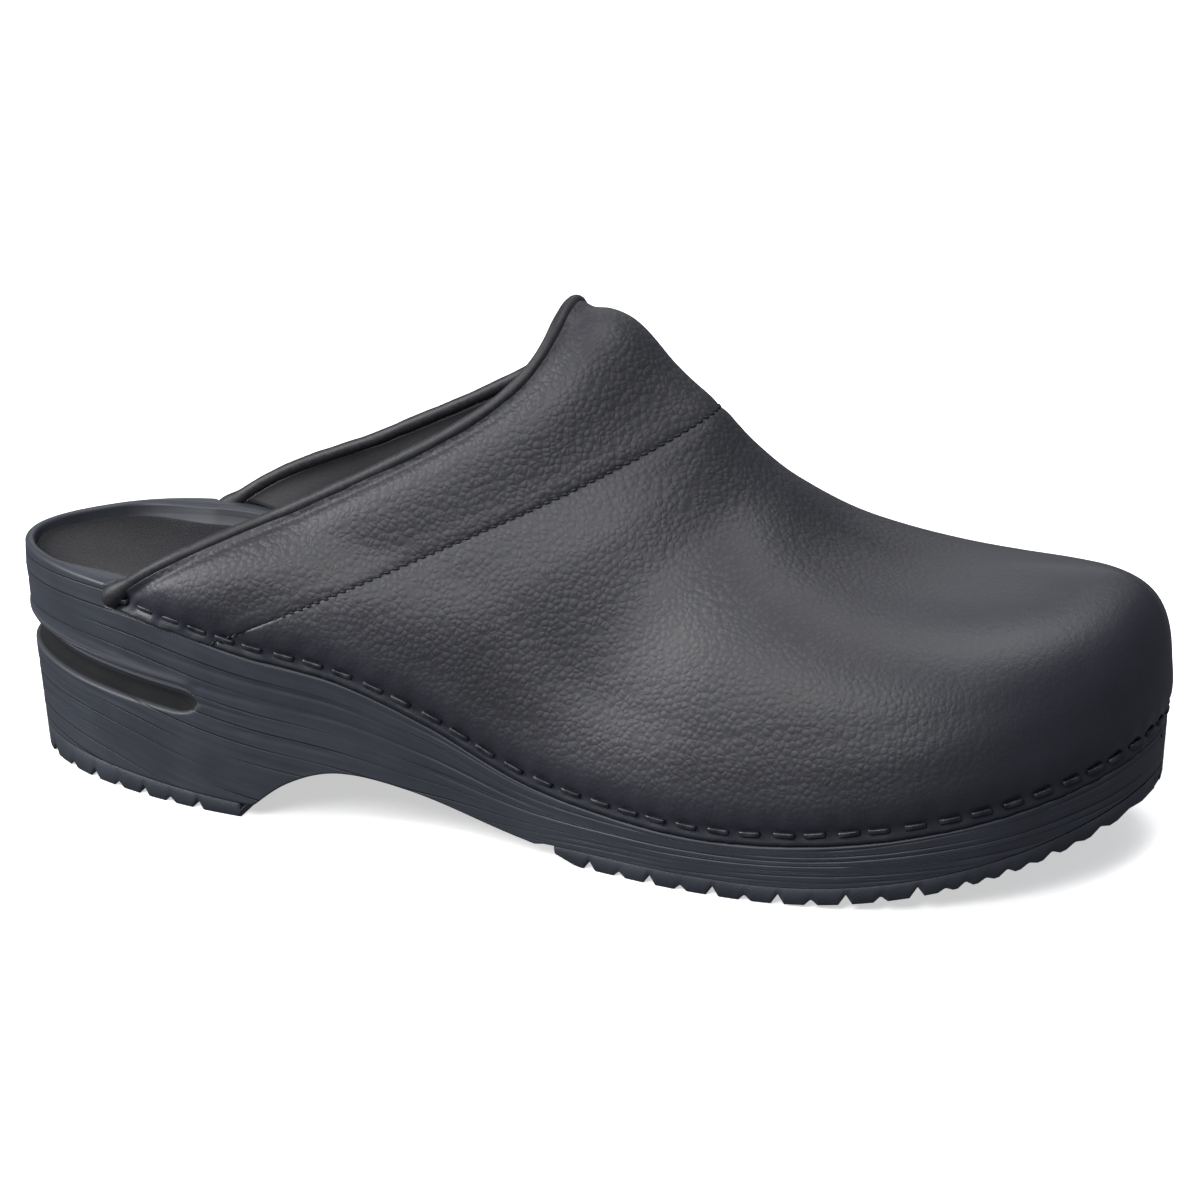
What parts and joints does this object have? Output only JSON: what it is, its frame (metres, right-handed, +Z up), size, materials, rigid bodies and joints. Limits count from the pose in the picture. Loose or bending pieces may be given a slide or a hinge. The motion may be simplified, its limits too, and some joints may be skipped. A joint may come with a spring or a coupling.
{
  "type": "wooden clog",
  "caption": "Closed-toe, open-back clog for the right foot with a wood-grained sole, raised heel, cushioned footbed and a stapled, lined leather upper.",
  "frame": {"origin": "middle of the bounding box in X and Y, on the ground plane that the treads stand on", "axes": "+X toward the toe, +Y toward the inner (medial) side of the foot, +Z up"},
  "size_m": [0.2862, 0.1084, 0.1252],
  "materials": {
    "sole": "satin black, carved grain",
    "tread": "matte black",
    "leather": "pebbled, semi-matte charcoal",
    "lining": "matte dark lining",
    "suede": "napped black microfibre suede",
    "foam": "matte foam and stiffener",
    "staple": "black coated steel wire"
  },
  "bodies": {
    "root": {"sole_block": "sole", "heel_tread": "tread", "forefoot_tread": "tread", "footbed_cushion": "foam", "footbed_cover": "suede", "vamp": "leather", "quarter": "leather", "topline_piping": "leather", "toe_puff": "foam", "vamp_lining": "lining", "collar_padding": "foam", "collar_lining": "lining", "staple_01": "staple", "staple_02": "staple", "staple_03": "staple", "staple_04": "staple", "staple_05": "staple", "staple_06": "staple", "staple_07": "staple", "staple_08": "staple", "staple_09": "staple", "staple_10": "staple", "staple_11": "staple", "staple_12": "staple", "staple_13": "staple", "staple_14": "staple", "staple_15": "staple", "staple_16": "staple", "staple_17": "staple", "staple_18": "staple", "staple_19": "staple", "staple_20": "staple", "staple_21": "staple", "staple_22": "staple", "staple_23": "staple", "staple_24": "staple", "staple_25": "staple", "staple_26": "staple", "staple_27": "staple", "staple_28": "staple", "staple_29": "staple", "staple_30": "staple", "staple_31": "staple", "staple_32": "staple", "staple_33": "staple", "staple_34": "staple", "staple_35": "staple", "staple_36": "staple", "staple_37": "staple", "staple_38": "staple", "staple_39": "staple", "staple_40": "staple", "staple_41": "staple", "staple_42": "staple", "staple_43": "staple", "staple_44": "staple", "staple_45": "staple", "staple_46": "staple"}
  },
  "joints": []
}
